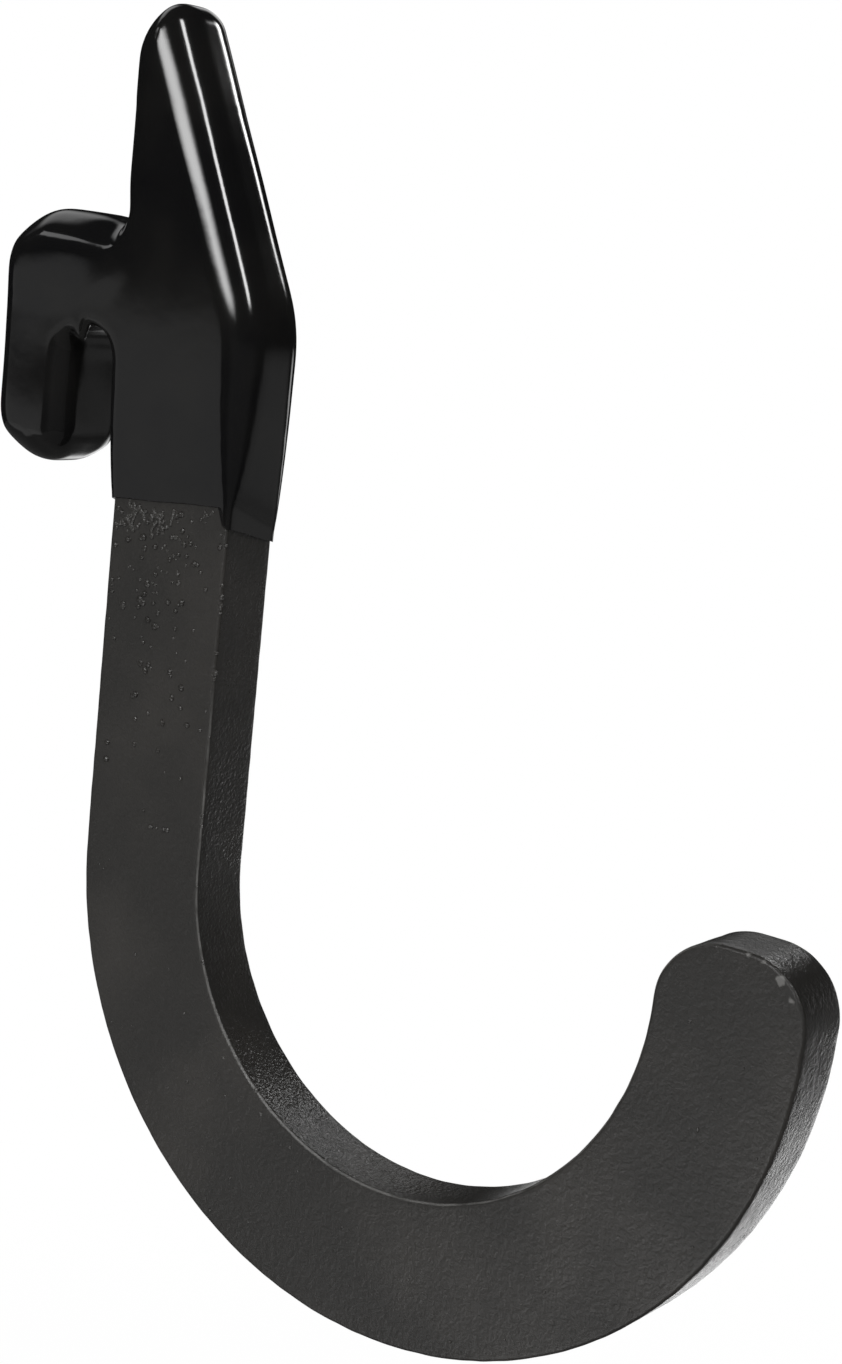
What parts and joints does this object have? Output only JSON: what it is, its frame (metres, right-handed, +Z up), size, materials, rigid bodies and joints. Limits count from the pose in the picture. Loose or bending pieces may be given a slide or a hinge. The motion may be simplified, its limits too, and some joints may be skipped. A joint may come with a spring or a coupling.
{
  "type": "weight rack j-hook",
  "caption": "Flat steel J-shaped hook with a pointed spear and a rear tab that hooks into a weight rack's slot; its upper end is dipped in a thick glossy coating.",
  "frame": {"origin": "middle of the rack slot's roof, on the coating, where the rack's wall carries the hook", "axes": "+X away from the rack, towards the hook's open end; +Z up, along the spine; Y across the plate, with its mid-plane at Y = 0"},
  "size_m": [0.1336, 0.0132, 0.1701],
  "materials": {
    "powder_coat": "satin",
    "dipped_vinyl": "gloss"
  },
  "bodies": {
    "root": {"hook_plate": "powder_coat", "dip_coat": "dipped_vinyl"}
  },
  "joints": []
}
